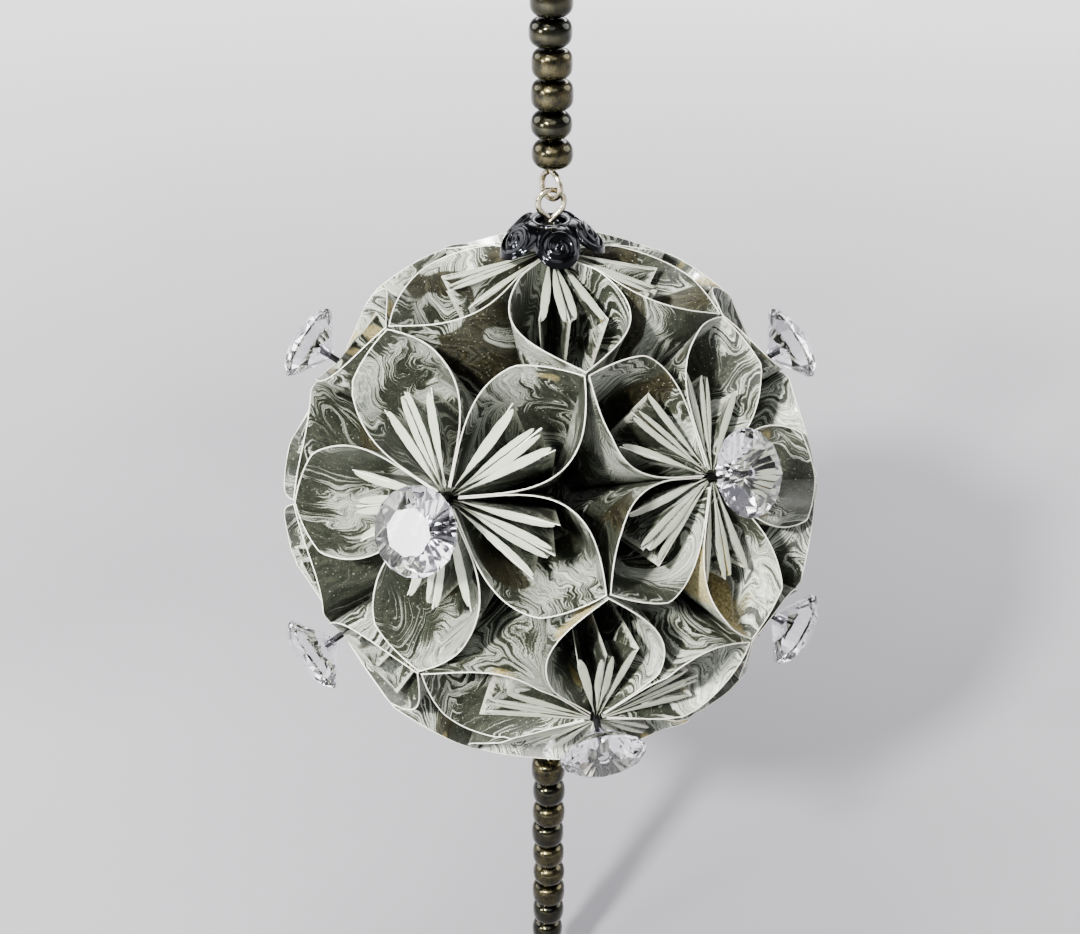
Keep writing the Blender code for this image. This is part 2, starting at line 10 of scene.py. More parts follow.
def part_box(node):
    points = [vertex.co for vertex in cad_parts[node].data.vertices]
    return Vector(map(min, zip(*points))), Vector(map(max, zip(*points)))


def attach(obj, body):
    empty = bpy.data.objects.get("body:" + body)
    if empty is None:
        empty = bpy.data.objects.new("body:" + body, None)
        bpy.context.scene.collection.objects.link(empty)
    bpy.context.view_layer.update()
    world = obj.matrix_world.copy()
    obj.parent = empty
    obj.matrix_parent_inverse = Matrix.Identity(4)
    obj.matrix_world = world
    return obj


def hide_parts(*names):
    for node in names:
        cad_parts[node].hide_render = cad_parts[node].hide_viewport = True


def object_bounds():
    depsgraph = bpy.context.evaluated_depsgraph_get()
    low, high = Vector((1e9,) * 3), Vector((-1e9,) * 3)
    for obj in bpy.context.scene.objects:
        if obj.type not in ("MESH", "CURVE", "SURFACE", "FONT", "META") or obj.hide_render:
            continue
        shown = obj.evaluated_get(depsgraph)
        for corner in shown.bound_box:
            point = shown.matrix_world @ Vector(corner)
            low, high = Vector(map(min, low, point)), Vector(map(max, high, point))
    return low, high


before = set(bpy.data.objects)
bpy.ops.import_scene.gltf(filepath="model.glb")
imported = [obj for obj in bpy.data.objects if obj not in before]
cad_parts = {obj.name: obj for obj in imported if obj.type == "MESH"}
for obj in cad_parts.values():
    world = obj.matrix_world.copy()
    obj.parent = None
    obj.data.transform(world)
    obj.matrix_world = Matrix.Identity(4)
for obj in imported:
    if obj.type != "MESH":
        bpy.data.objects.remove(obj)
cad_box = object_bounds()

MM = 0.001

# The same sizes as the solids.
SHEET = 65.0 * MM
SEAM = SHEET / 2
CORNER_RISE = 2.1 * MM
BALL_RADIUS = SEAM + CORNER_RISE
FRONT_PUSHED_IN = 3.1 * MM
TOP_PULLED_OUT = 1.2 * MM
TURN = math.radians(10.7)
BACK_TURN = math.radians(16.5)
GLUED_ANGLE = math.radians(10.5)
LEAVING_REACH = math.radians(14.0)
ARRIVING_REACH = math.radians(17.0)
ARRIVING_ANGLE = math.radians(57.5)
FLOWER_GAP = 0.3 * MM
FLAP_LENGTH = SEAM * math.tan(math.radians(22.5))
FLAP_ANGLE = math.radians(18.0)
FLAP_DROOP = 1.5 * MM
POINT_RADIUS = 3.0 * MM
CAP_PETAL_CENTRE = 3.85 * MM
CAP_PETAL_SHARE = 0.71
CAP_PETAL_RADIUS = CAP_PETAL_CENTRE * CAP_PETAL_SHARE
CAP_RING_RADIUS = 2.4 * MM
CAP_RING_HEIGHT = 0.5 * MM
CAP_HEIGHT = 3.3 * MM
CAP_WALL = 0.45 * MM
WIRE = 0.75 * MM
WIRE_GAP = 0.3 * MM
LOOP_RADIUS = 1.6 * MM
LOOP_REACH = LOOP_RADIUS + WIRE / 2
LOOP_START = math.radians(-60)
LOOP_END = math.radians(240)
LOOP_BEND = 1.16
TOP_EYE_BEND = 1.45
NECK_LENGTH = 0.1 * MM
EYE_ABOVE_CAP = 0.1 * MM
BOTTOM_STEM = 6.2 * MM
EYE_PIN_DEPTH = 15.85 * MM
BALL_EYE_TURN = math.radians(16.0)
STRAND_EYE_TURN = math.radians(-49.0)
LINK_STEP = 2 * LOOP_RADIUS - WIRE - WIRE_GAP
CAP_BASE = SEAM + TOP_PULLED_OUT + WIRE_GAP
TOP_LOOP_HEIGHT = CAP_BASE + CAP_HEIGHT + CAP_RING_HEIGHT + EYE_ABOVE_CAP + LOOP_REACH
BOTTOM_LOOP_HEIGHT = SEAM + BOTTOM_STEM + LOOP_REACH
BEAD_BORE = 1.5 * MM
BEAD_RADIUS = 2.5 * MM
STEP = math.tau / 5
TIP_ANGLE = math.atan(3 - math.sqrt(5))
RING_ANGLE = math.atan(2)

# The paper's thin walls, and how finely they are drawn.
PAPER = 0.17 * MM
INNER_SKIN = 0.015 * MM
EDGE_CORNER = 0.05 * MM
EDGE_ROUND = 0.09 * MM
RIB_START = 0.045
RIB_COLUMNS = 3
WALL_COLUMNS = 22
WALL_ROWS = (0.0, 0.3, 0.55, 0.75, 0.88, 0.95, 0.985, 1.0)
EDGE_ROWS = 5
POINT_REACH = 8.6 * MM
POINT_LIFT = 0.15 * MM
POINT_LEVELS = (0.02, 0.25, 0.5, 0.75, 1.0)
POINT_STEPS = 4

# The flaps inside each petal, and the leaf of turned-over paper along the top of each.
FLAP_NEAR = 1.35 * MM
FLAP_SUNK = 0.06 * MM
MIDDLE_FLAP_SUNK = 0.45 * MM
FLAP_EDGE = 0.55
FLAP_COLUMNS = 7
FLAP_LEVELS = (0.12, 0.35, 0.6, 0.8, 0.92, 0.98, 1.0)
BLADE_NEAR = 0.8 * MM
BLADE_COLUMNS = 20
BLADE_FULLEST = 0.68
SIDE_BLADE = (-0.33 * MM, 0.80 * MM)
MIDDLE_BLADE = (0.09 * MM, 0.93 * MM)
BLADE_RAISED = 0.02 * MM
BLADE_DOME = 0.05 * MM
BLADE_PAPER = 0.12 * MM
BLADE_LEAST_DEPTH = 0.22 * MM

# How much a handmade piece differs from the next, as the least and the most.
PRINT_OFFSETS = (-400, 400)
PETAL_WIDTHS = (0.95, 1.05)
PETAL_RIPPLES = (-0.25 * MM, 0.25 * MM)
RIPPLE_SHARE = 0.6
RIPPLE_FADE = 6
RIPPLE_MARGIN = 0.4 * MM
FLAP_SWINGS = (-0.05, 0.05)
FLAP_SPREADS = (0.88, 1.08)
FLAP_TURNS = (-0.04, 0.04)
FLAP_LENGTHS = (0.94, 1.0)
FLAP_DROOPS = (-0.9 * MM, 0.3 * MM)
BLADE_SIZES = (0.86, 1.14)
BLADE_LENGTHS = (0.95, 1.0)
BLADE_TILTS = (-0.3 * MM, 0.05 * MM)
BLADE_SHIFTS = (-0.07, 0.05)
BLADE_LEANS = (-0.05 * MM, 0.2 * MM)
BLADE_RAGS = (-0.03, 0.03)
BEAD_PLAY = (0, 0.2 * MM)
BEAD_SIZES = (0.93, 1.0)
BEAD_BULGES = (2.05, 3.2)
DARK_BEADS = 0.4

# The cap's domes and spirals, and how finely the cap, the eyes and the beads are drawn.
CAP_BULGE = 0.68 * MM
CAP_FACING = math.radians(30)
CAP_SPIRAL_DROP = 0.75 * MM
SPIRAL_TURNS = 2.2
SPIRAL_REACH = 0.88
SPIRAL_WIDTH = 0.29
SPIRAL_RELIEF = 0.42 * MM
RIM_PLACE = 0.93
RIM_WIDTH = 0.09
RIM_RELIEF = 0.2 * MM
CAP_SIDES = 320
CAP_STEPS = 66
CAP_RING_STEPS = 6
CAP_BORE = ((0.5 * MM, -1.2 * MM), (1.4 * MM, -0.8 * MM))
RING_WIDTH = 0.3 * MM
RING_LIFT = 0.25 * MM
RING_ROUND = 0.28 * MM
LOOP_STEPS = 30
HIGHEST_EYE_SUNK = 0.02 * MM
BEAD_GROWTH = 0.06 * MM
BEAD_SIDES = 40
BEAD_STEPS = 22

# The camera, as fitted to the photograph.
CAMERA_ELEVATION = math.radians(29.94)
CAMERA_AIM = Vector((-1.3, 0, 3.76)) * MM
CAMERA_DISTANCE = 202.3 * MM
CAMERA_LENS = 51.9
CAMERA_SENSOR = 36.0

# A flat floor whose far rim rises gently, in metres.
FLOOR_DROP = 4 * MM
FLOOR_FLAT = 1.0
FLOOR_REACH = 6.0
FLOOR_RISE = 2.2
FLOOR_RINGS = 14
FLOOR_SIDES = 64

# Each lamp's name, degrees to the side and up, distance and radius in metres, power and colour.
WARM = (1.0, 0.985, 0.95)
COOL = (0.98, 0.98, 1.0)
LAMPS = (
    ("key", -30, 36, 0.62, 0.035, 64.0, WARM),
    ("stone_card", -54, 15, 0.5, 0.055, 9.0, (0.97, 0.97, 1.0)),
    ("front_fill", 8, 44, 0.7, 0.2, 5.0, (0.95, 0.95, 1.0)),
    ("back_wash", 175, 38, 1.1, 0.4, 52.0, COOL),
    ("left_wash", -105, 28, 1.1, 0.4, 42.0, COOL),
    ("right_wash", 105, 28, 1.1, 0.4, 34.0, COOL),
)
# Each wide light's name, degrees to the side and up, and strength. They keep the floor even.
SUNS = (("even_front", -35, 62, 0.9), ("even_back", 160, 52, 0.5))
SUN_SPREAD = math.radians(30)
ROOM_COLOUR = (0.85, 0.84, 0.94, 1)
ROOM_STRENGTH = 0.25

# Sheets that show more olive brown (below zero) or more gold (above zero) than the rest.
STAINS = {
    ("top", 4): -0.15,
    ("top", 1): -0.08,
    ("upper_1", 1): -0.1,
    ("upper_2", 0): 0.15,
    ("upper_2", 1): 0.05,
    ("upper_2", 3): -0.1,
    ("upper_4", 0): -0.12,
    ("upper_5", 2): 0.1,
    ("lower_2", 3): -0.1,
    ("lower_3", 1): -0.14,
    ("lower_4", 4): -0.1,
}

# The print's colours along its patterns.
PRINT_WHITE = (0.66, 0.69, 0.60)
PRINT_BLACK = (0.010, 0.012, 0.008)
STREAKS = (
    (0.34, (0.008, 0.010, 0.006)),
    (0.45, (0.018, 0.021, 0.013)),
    (0.495, (0.040, 0.045, 0.030)),
    (0.510, (0.12, 0.135, 0.105)),
    (0.525, (0.46, 0.49, 0.41)),
    (0.548, PRINT_WHITE),
    (0.560, (0.10, 0.115, 0.085)),
    (0.588, (0.034, 0.040, 0.027)),
    (0.602, (0.20, 0.225, 0.18)),
    (0.64, (0.60, 0.63, 0.54)),
    (0.67, (0.14, 0.16, 0.12)),
    (0.71, PRINT_WHITE),
)
LICHEN = ((0.42, (0.10, 0.115, 0.09)), (0.50, (0.24, 0.265, 0.225)), (0.62, (0.56, 0.59, 0.51)))
CHARCOAL = ((0.42, PRINT_BLACK), (0.64, (0.045, 0.050, 0.034)))
BROWN = ((0.40, (0.006, 0.0055, 0.003)), (0.52, (0.017, 0.0152, 0.007)), (0.66, (0.040, 0.036, 0.018)))
GLITTER = ((0.40, (0.15, 0.12, 0.04)), (0.54, (0.36, 0.295, 0.115)), (0.70, (0.64, 0.56, 0.29)))
# The floor's colour by distance from the spot under the ball: a painted shadow pool, darkest under the
# ball.
FLOOR_SHADOW_POOL_TONES = ((0.02, (0.155, 0.152, 0.163)), (0.2, (0.29, 0.286, 0.300)), (0.65, (0.72, 0.713, 0.730)))

# The materials of a paper flower, in their order on its mesh.
PRINTED, CUT_EDGE, BACK = 0, 1, 2

dice = random.Random(11)

# The cap's petals reach down to its base, which gives the ball's centre.
CENTRE = Vector((0, 0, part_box("bead_cap")[0][2] - CAP_BASE))


def polar(distance, angle, height=0.0):
    return Vector((distance * math.cos(angle), distance * math.sin(angle), height))


def direction(point):
    """The ray whose angle from the flower's axis is the point's distance, towards the point's side."""
    away = point.length
    if away == 0:
        return Vector((0, 0, 1))
    flat = point / away * math.sin(away)
    return Vector((flat.x, flat.y, math.cos(away)))


def new_object(name, data):
    obj = bpy.data.objects.new(name, data)
    bpy.context.scene.collection.objects.link(obj)
    return obj


# Materials


class Graph:
    """A short way to write a material's nodes."""

    def __init__(self, name):
        self.material = bpy.data.materials.new(name)
        self.material.use_nodes = True
        self.tree = self.material.node_tree
        self.shader = self.tree.nodes["Principled BSDF"]

    def node(self, kind, **settings):
        made = self.tree.nodes.new(kind)
        for key, value in settings.items():
            setattr(made, key, value)
        return made

    def link(self, source, target):
        self.tree.links.new(source, target)

    def feed(self, socket, value):
        if isinstance(value, bpy.types.NodeSocket):
            self.link(value, socket)
        else:
            socket.default_value = value

    def place(self):
        """The object's own coordinates, in metres."""
        return self.node("ShaderNodeTexCoord").outputs["Object"]

    def attribute(self, name):
        return self.node("ShaderNodeAttribute", attribute_name=name).outputs["Fac"]

    def math(self, operation, a, b=0.0):
        made = self.node("ShaderNodeMath", operation=operation)
        self.feed(made.inputs[0], a)
        self.feed(made.inputs[1], b)
        return made.outputs[0]

    def vector(self, operation, a, b):
        made = self.node("ShaderNodeVectorMath", operation=operation)
        self.feed(made.inputs[0], a)
        self.feed(made.inputs["Scale" if operation == "SCALE" else 1], b)
        return made.outputs[0]

    def moved(self, vector, x, y):
        return self.vector("ADD", vector, (x, y, 0.0))

    def set_noise(self, made, scale, detail, roughness):
        for name, value in (("Scale", scale), ("Detail", detail), ("Roughness", roughness)):
            made.inputs[name].default_value = value

    def streak_noise(self, value, scale, detail, roughness):
        """Noise along one direction only, which turns a smooth value into uneven streaks."""
        made = self.node("ShaderNodeTexNoise", noise_dimensions="1D")
        self.feed(made.inputs["W"], value)
        self.set_noise(made, scale, detail, roughness)
        return made.outputs["Fac"]

    def noise(self, vector, scale, detail=2.0, roughness=0.5, colour=False):
        made = self.node("ShaderNodeTexNoise")
        self.feed(made.inputs["Vector"], vector)
        self.set_noise(made, scale, detail, roughness)
        return made.outputs["Color" if colour else "Fac"]

    def dragged(self, vector, scale, detail, reach):
        """The coordinates, pulled about by noise."""
        centred = self.vector("SUBTRACT", self.noise(vector, scale, detail, colour=True), (0.5, 0.5, 0.5))
        return self.vector("ADD", vector, self.vector("SCALE", centred, reach))

    def ramp(self, value, stops):
        made = self.node("ShaderNodeValToRGB")
        elements = made.color_ramp.elements
        while len(elements) < len(stops):
            elements.new(0.5)
        for element, (place, colour) in zip(elements, stops):
            element.position = place
            if not isinstance(colour, tuple):
                colour = (colour, colour, colour)
            element.color = (*colour, 1.0)
        self.feed(made.inputs["Fac"], value)
        return made.outputs["Color"]

    def mix(self, share, a, b):
        made = self.node("ShaderNodeMix", data_type="RGBA")
        self.feed(made.inputs["Factor"], share)
        for socket, value in ((made.inputs[6], a), (made.inputs[7], b)):
            self.feed(socket, (*value, 1.0) if isinstance(value, tuple) else value)
        return made.outputs[2]

    def bump(self, height, strength, distance):
        made = self.node("ShaderNodeBump")
        made.inputs["Strength"].default_value = strength
        made.inputs["Distance"].default_value = distance
        self.feed(made.inputs["Height"], height)
        self.link(made.outputs["Normal"], self.shader.inputs["Normal"])

    def set(self, **values):
        """Sets the shader's own sockets, or feeds them from a pattern."""
        for key, value in values.items():
            socket = self.shader.inputs[key.replace("_", " ")]
            self.feed(socket, (*value, 1.0) if isinstance(value, tuple) else value)


def combed(g, swirled, ragged):
    """A value that climbs across the sheet in scalloped, slightly ragged rows, for the streaks."""
    split = g.node("ShaderNodeSeparateXYZ")
    g.link(swirled, split.inputs[0])
    scallop = g.math("ABSOLUTE", g.math("SINE", g.math("MULTIPLY", split.outputs["X"], 0.42)))
    rows = g.math("ADD", split.outputs["Y"], g.math("MULTIPLY", scallop, 2.6))
    return g.math("ADD", rows, g.math("MULTIPLY", ragged, 0.5))


def streaked(g, pulled, fine, mottle, grain):
    """White, grey-green and charcoal streaks that lean paler and darker over wide areas."""
    area = g.noise(g.moved(pulled, 11.0, 83.0), 0.1, 2.0)
    leaning = g.math("ADD", fine, g.math("MULTIPLY", g.math("SUBTRACT", area, 0.515), 0.95))
    colour = g.ramp(leaning, STREAKS)
    colour = g.mix(g.ramp(area, ((0.60, 0.0), (0.66, 0.6))), colour, g.ramp(mottle, LICHEN))
    colour = g.mix(g.ramp(area, ((0.40, 0.85), (0.45, 0.0))), colour, g.ramp(mottle, CHARCOAL))
    colour = g.mix(g.ramp(grain, ((0.60, 0.0), (0.70, 0.4))), colour, (0.36, 0.38, 0.31))
    return g.mix(g.ramp(grain, ((0.34, 0.6), (0.43, 0.0))), colour, PRINT_BLACK)


def with_brown_and_gold(g, colour, uv, pulled, fine, mottle):
    """Areas of olive brown with thin pale threads, and areas of glittering gold."""
    stain = g.attribute("stain")
    olive = g.math("SUBTRACT", g.noise(g.moved(pulled, 61.0, 17.0), 0.075, 1.5), stain)
    thread = g.ramp(fine, ((0.60, 0.0), (0.612, 0.5), (0.624, 0.0)))
    brown = g.mix(thread, g.ramp(mottle, BROWN), (0.12, 0.105, 0.055))
    colour = g.mix(g.ramp(olive, ((0.67, 0.0), (0.685, 0.94))), colour, brown)
    gold = g.math("ADD", g.noise(g.moved(pulled, -33.0, 48.0), 0.09, 1.5), stain)
    glitter = g.ramp(g.noise(uv, 2.6, 3.0, 0.8), GLITTER)
    return g.mix(g.ramp(gold, ((0.68, 0.0), (0.71, 0.8))), colour, glitter)


def with_wear(g, colour, uv, ragged):
    """Paper showing along the worn edges, and fine pale specks."""
    rough_wear = g.math("ADD", g.attribute("wear"), g.math("MULTIPLY", ragged, 1.2))
    colour = g.mix(g.ramp(rough_wear, ((0.70, 0.0), (0.9, 0.75))), colour, (0.55, 0.56, 0.46))
    specks = g.noise(g.moved(uv, 7.0, 29.0), 2.9, 2.0, 0.6)
    return g.mix(g.ramp(specks, ((0.655, 0.0), (0.70, 0.75))), colour, (0.40, 0.42, 0.34))


def marbled_paper():
    """Combed marbling with olive and gold areas. The UV map is in millimetres on the sheet."""
    g = Graph("marbled_paper")
    uv = g.node("ShaderNodeUVMap", uv_map="sheet").outputs["UV"]
    pulled = g.dragged(uv, 0.06, 1.0, 20.0)
    swirled = g.dragged(pulled, 0.2, 1.5, 6.5)
    ragged = g.math("SUBTRACT", g.noise(uv, 2.3, 4.0, 0.7), 0.5)
    fine = g.streak_noise(combed(g, swirled, ragged), 1.3, 5.0, 0.66)
    mottle = g.noise(swirled, 1.3, 4.0, 0.72)
    grain = g.noise(uv, 4.2, 4.0, 0.75)
    colour = streaked(g, pulled, fine, mottle, grain)
    colour = with_brown_and_gold(g, colour, uv, pulled, fine, mottle)
    colour = with_wear(g, colour, uv, ragged)
    g.set(Base_Color=colour, Roughness=g.ramp(grain, ((0.3, 0.30), (0.7, 0.48))))
    g.set(Coat_Weight=0.34, Coat_Roughness=0.16, Specular_IOR_Level=0.38)
    g.bump(grain, 0.3, 0.06 * MM)
    return g.material


def plain_paper(name, colour, dark):
    """The sheet's unprinted back and its cut edges, in off-white with faint fibres and stains."""
    g = Graph(name)
    place = g.place()
    fibres = g.noise(place, 2600.0, 4.0, 0.65)
    stains = g.noise(place, 330.0, 3.0, 0.6)
    mixed = g.mix(g.ramp(stains, ((0.50, 0.0), (0.72, 0.8))), colour, dark)
    mixed = g.mix(g.ramp(fibres, ((0.58, 0.0), (0.75, 0.35))), mixed, dark)
    g.set(Base_Color=mixed, Roughness=g.ramp(fibres, ((0.3, 0.55), (0.7, 0.7))))
    g.bump(fibres, 0.2, 0.05 * MM)
    return g.material


def clear_stone():
    g = Graph("clear_acrylic")
    haze = g.noise(g.place(), 500.0, 2.0)
    # The faint lilac in the stones' colour is a painted reflection of lilac surroundings, varied by the
    # haze noise.
    lilac_reflection_tint = g.mix(haze, (0.97, 0.96, 1.0), (0.93, 0.93, 0.98))
    g.set(Base_Color=lilac_reflection_tint, Roughness=g.ramp(haze, ((0.4, 0.02), (0.7, 0.07))))
    g.set(Transmission_Weight=1.0, IOR=1.53)
    return g.material


def metal(name, colour, dark, roughness, scale, coat=0.0):
    """Wire, pins, the cap and the beads: a metal finish with a darker, uneven patina."""
    g = Graph(name)
    place = g.place()
    patina = g.noise(place, scale, 4.0, 0.6)
    fine = g.noise(place, scale * 6, 2.0, 0.6)
    g.set(
        Base_Color=g.mix(g.ramp(patina, ((0.38, 0.0), (0.66, 1.0))), colour, dark),
        Roughness=g.ramp(fine, ((0.3, roughness * 0.7), (0.7, roughness * 1.5))),
    )
    g.set(Metallic=1.0, Coat_Weight=coat, Coat_Roughness=0.05)
    g.bump(fine, 0.15, 0.04 * MM)
    return g.material


def pale_floor():
    """A plain pale floor in faint lilac grey, with a painted shadow pool: darker right under the ball than
    further out.
    """
    g = Graph("pale_floor")
    place = g.place()
    away = g.node("ShaderNodeVectorMath", operation="LENGTH")
    g.link(g.vector("MULTIPLY", place, (1.0, 1.0, 0.0)), away.inputs[0])
    # Painted shadow pool: the floor's colour darkens towards the spot right under the ball.
    painted_shadow_pool = g.ramp(away.outputs["Value"], FLOOR_SHADOW_POOL_TONES)
    cloudy = g.ramp(g.noise(place, 6.0, 3.0), ((0.3, 0.0), (0.7, 0.2)))
    g.set(Base_Color=g.mix(cloudy, painted_shadow_pool, (0.62, 0.61, 0.64)), Roughness=0.8, Specular_IOR_Level=0.2)
    return g.material


MARBLED = marbled_paper()
EDGE = plain_paper("paper_edge", (0.76, 0.75, 0.64), (0.40, 0.385, 0.29))
IVORY = plain_paper("paper_back", (0.305, 0.33, 0.248), (0.22, 0.243, 0.18))
STONE = clear_stone()
PIN = metal("black_pin", (0.03, 0.03, 0.032), (0.01, 0.01, 0.01), 0.35, 900.0)
CAP = metal("gunmetal_gloss", (0.010, 0.011, 0.013), (0.004, 0.0045, 0.006), 0.12, 500.0, 0.3)
GOLD_WIRE = metal("pale_gold_wire", (0.56, 0.52, 0.40), (0.27, 0.23, 0.13), 0.17, 700.0)
BRONZE = metal("bronze_bead", (0.068, 0.058, 0.026), (0.009, 0.0092, 0.006), 0.21, 820.0, 0.25)
DARK_BRONZE = metal("dark_bronze_bead", (0.034, 0.032, 0.015), (0.005, 0.0055, 0.0035), 0.16, 820.0, 0.35)


# Building meshes


class Sheets:
    """Collects grids of points into one mesh, with sheet coordinates, wear and a material for each face."""

    def __init__(self):
        self.points = []
        self.faces = []
        self.kinds = []
        self.coordinates = []
        self.wear = []
        self.stains = []
        self.stain = 0.0

    def grid(self, rows, coordinates, wear, kind_of):
        """rows[j][i] are points; kind_of(i, j) gives the material of the face from there."""
        start = len(self.points)
        width = len(rows[0])
        for row, uvs, worn in zip(rows, coordinates, wear):
            self.points += row
            self.coordinates += uvs
            self.wear += worn
            self.stains += [self.stain] * len(worn)
        for j in range(len(rows) - 1):
            for i in range(width - 1):
                a = start + j * width + i
                self.faces.append((a, a + 1, a + width + 1, a + width))
                self.kinds.append(kind_of(i, j))

    def plain_grid(self, rows):
        """A grid in one material without a print."""
        uvs = [[(i * 0.1, j * 0.1) for i in range(len(row))] for j, row in enumerate(rows)]
        self.grid(rows, uvs, [[0.0] * len(row) for row in rows], lambda i, j: 0)

    def finished(self, name, materials, matrix, smooth=30):
        """The object made of all the grids, with edges sharper than `smooth` degrees left sharp."""
        mesh = bpy.data.meshes.new(name)
        mesh.from_pydata([matrix @ Vector(point) for point in self.points], [], self.faces)
        for made in materials:
            mesh.materials.append(made)
        mesh.polygons.foreach_set("material_index", self.kinds)
        layer = mesh.uv_layers.new(name="sheet")
        for loop in mesh.loops:
            layer.data[loop.index].uv = self.coordinates[loop.vertex_index]
        for label, values in (("wear", self.wear), ("stain", self.stains)):
            mesh.attributes.new(label, "FLOAT", "POINT").data.foreach_set("value", values)
        mesh.update()
        mesh.shade_smooth()
        mesh.set_sharp_from_angle(angle=math.radians(smooth))
        return new_object(name, mesh)


def on_sheet(offset, reach, angle):
    """A place on the print, from the sheet's centre outwards, in millimetres."""
    return (offset[0] + reach * math.cos(angle), offset[1] + reach * math.sin(angle))


def petal_outline(width):
    """One side of a petal from the hub to the tip, as angles from the flower's axis."""
    leave = Vector((math.cos(STEP / 2), math.sin(STEP / 2)))
    fork = leave * GLUED_ANGLE
    inward = FLOWER_GAP / 2 / math.sin(ARRIVING_ANGLE) / BALL_RADIUS
    tip = Vector((TIP_ANGLE - inward, 0))
    arrive = Vector((math.cos(ARRIVING_ANGLE), -math.sin(ARRIVING_ANGLE)))
    first = fork + leave * LEAVING_REACH * width
    last = tip - arrive * ARRIVING_REACH * width
    rib = GLUED_ANGLE - RIB_START
    points = [leave * (RIB_START + rib * i / RIB_COLUMNS) for i in range(RIB_COLUMNS)]
    for i in range(WALL_COLUMNS + 1):
        t = i / WALL_COLUMNS
        s = 1 - t
        points.append(s**3 * fork + 3 * s * s * t * first + 3 * s * t * t * last + t**3 * tip)
    return points


def wall_section():
    """A petal's wall from the point up its inside, over the rounded cut edge and back down.

    Each row has its share of the way out, how far it lies into the petal, how far below the edge
    it ends, and its wear.
    """
    climb = [(share, max(0.0, (share - 0.9) * 4)) for share in WALL_ROWS[:-1]]
    shoulder = EDGE_ROUND * 0.35
    edge = [
        (1.0, INNER_SKIN, EDGE_ROUND, 0.5),
        (1.0, EDGE_CORNER, shoulder, 1.0),
        (1.0, PAPER / 2, 0.0, 1.0),
        (1.0, PAPER - EDGE_CORNER, shoulder, 1.0),
        (1.0, PAPER, EDGE_ROUND, 0.5),
    ]
    up = [(share, INNER_SKIN, 0.0, worn) for share, worn in climb]
    down = [(share, PAPER, 0.0, worn) for share, worn in reversed(climb)]
    return up + edge + down


def add_petal(sheets, turn, seat, offset):
    """One petal's wall, as a strip from the hub round the tip and back, with a rounded cut edge."""
    side = petal_outline(dice.uniform(*PETAL_WIDTHS))
    both = side + [Vector((p.x, -p.y)) for p in reversed(side[:-1])]
    middle = len(side) - 1
    total = [0.0]
    for a, b in zip(both, both[1:]):
        total.append(total[-1] + (b - a).length)
    # Two of these four draws are spare, and keep the later draws as they are.
    waves = [dice.uniform(*PETAL_RIPPLES) for _ in range(4)]
    columns = []
    for i, point in enumerate(both):
        ray = direction(point)
        before, after = both[max(i - 1, 0)], both[min(i + 1, len(both) - 1)]
        glued = min(i, len(both) - 1 - i) <= RIB_COLUMNS
        if i == middle:
            inwards = Vector((-math.cos(point.x), 0, math.sin(point.x))) / math.sin(ARRIVING_ANGLE)
        elif glued:
            inwards = polar(1, math.copysign(math.pi / 2 - STEP / 2, i - middle))
        else:
            inwards = -ray.cross(direction(after) - direction(before)).normalized()
        from_tip = total[i] - total[middle]
        paper_angle = point.length if glued else total[middle] - abs(from_tip) + RIB_START
        radius = min(seat / math.cos(paper_angle), BALL_RADIUS)
        ripple = waves[0] * math.sin(total[i] * 5.0) + waves[1] * math.sin(total[i] * 11.0 + 1.0)
        if radius > BALL_RADIUS - RIPPLE_MARGIN:
            ripple = -abs(ripple)
        fade = min(abs(i - middle), RIPPLE_FADE) / RIPPLE_FADE
        columns.append((ray, inwards, radius + ripple * RIPPLE_SHARE * fade, from_tip))
    rows, uvs, wear = [], [], []
    for share, inset, drop, worn in wall_section():
        row, row_uv = [], []
        for ray, inwards, radius, angle in columns:
            reach = POINT_RADIUS + (radius - POINT_RADIUS) * share - drop
            row.append(turn @ (ray * reach + inwards * inset))
            row_uv.append(on_sheet(offset, reach / MM, angle))
        rows.append(row)
        uvs.append(row_uv)
        wear.append([worn] * len(row))
    first = len(WALL_ROWS) - 1
    edge = range(first, first + EDGE_ROWS - 1)
    sheets.grid(rows, uvs, wear, lambda i, j: CUT_EDGE if j in edge else PRINTED)


